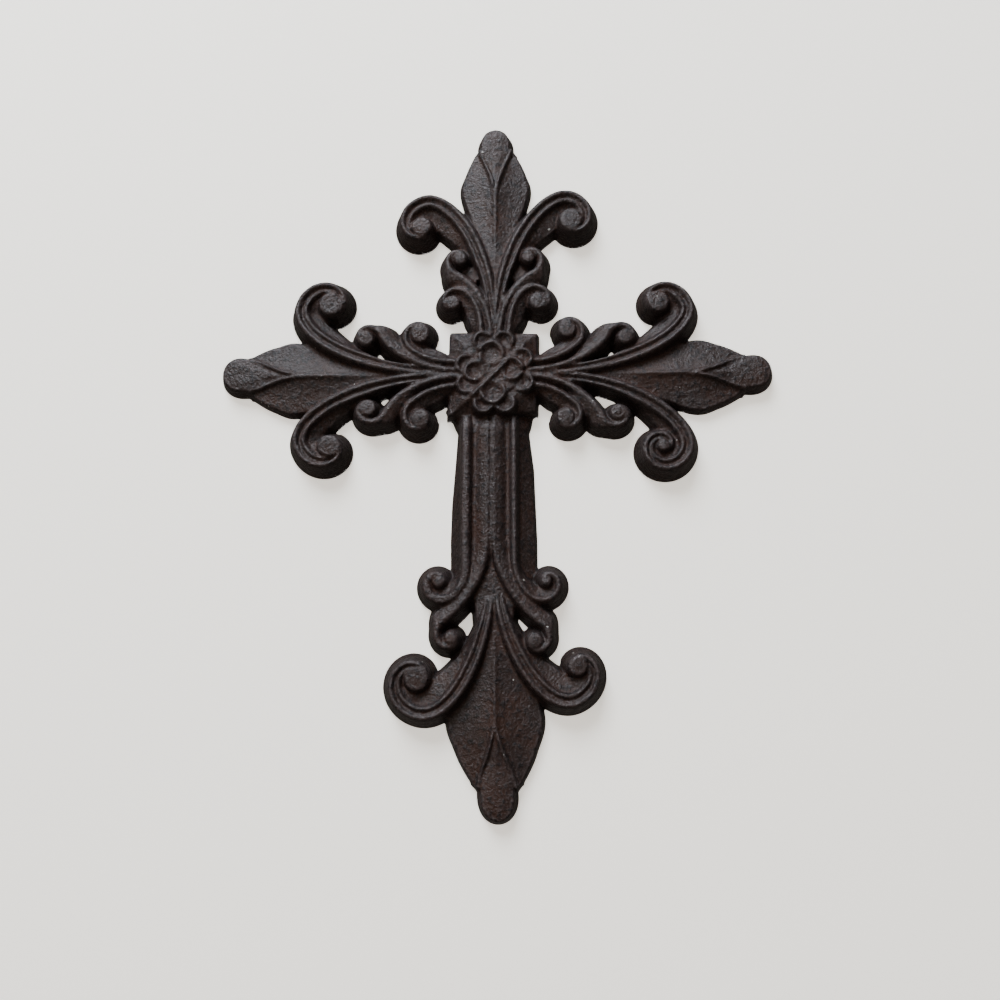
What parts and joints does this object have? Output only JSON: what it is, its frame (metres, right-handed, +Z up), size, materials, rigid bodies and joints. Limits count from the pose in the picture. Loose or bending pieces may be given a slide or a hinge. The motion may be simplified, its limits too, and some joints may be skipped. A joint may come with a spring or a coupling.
{
  "type": "wall cross",
  "caption": "Cast iron wall cross with scrolled ends, leaf tips and a rose on a square at the centre; flat at the back, made to hang on a wall.",
  "frame": {"origin": "on the flat back, straight behind the middle of the rose where the limbs cross", "axes": "+X to the viewer's right, +Y into the wall, +Z up; the relief faces -Y"},
  "size_m": [0.2414, 0.0125, 0.3056],
  "materials": {
    "iron": "sand-cast iron, dull dark brown with a fine grain"
  },
  "bodies": {
    "root": {"cross_casting": "iron"}
  },
  "joints": []
}
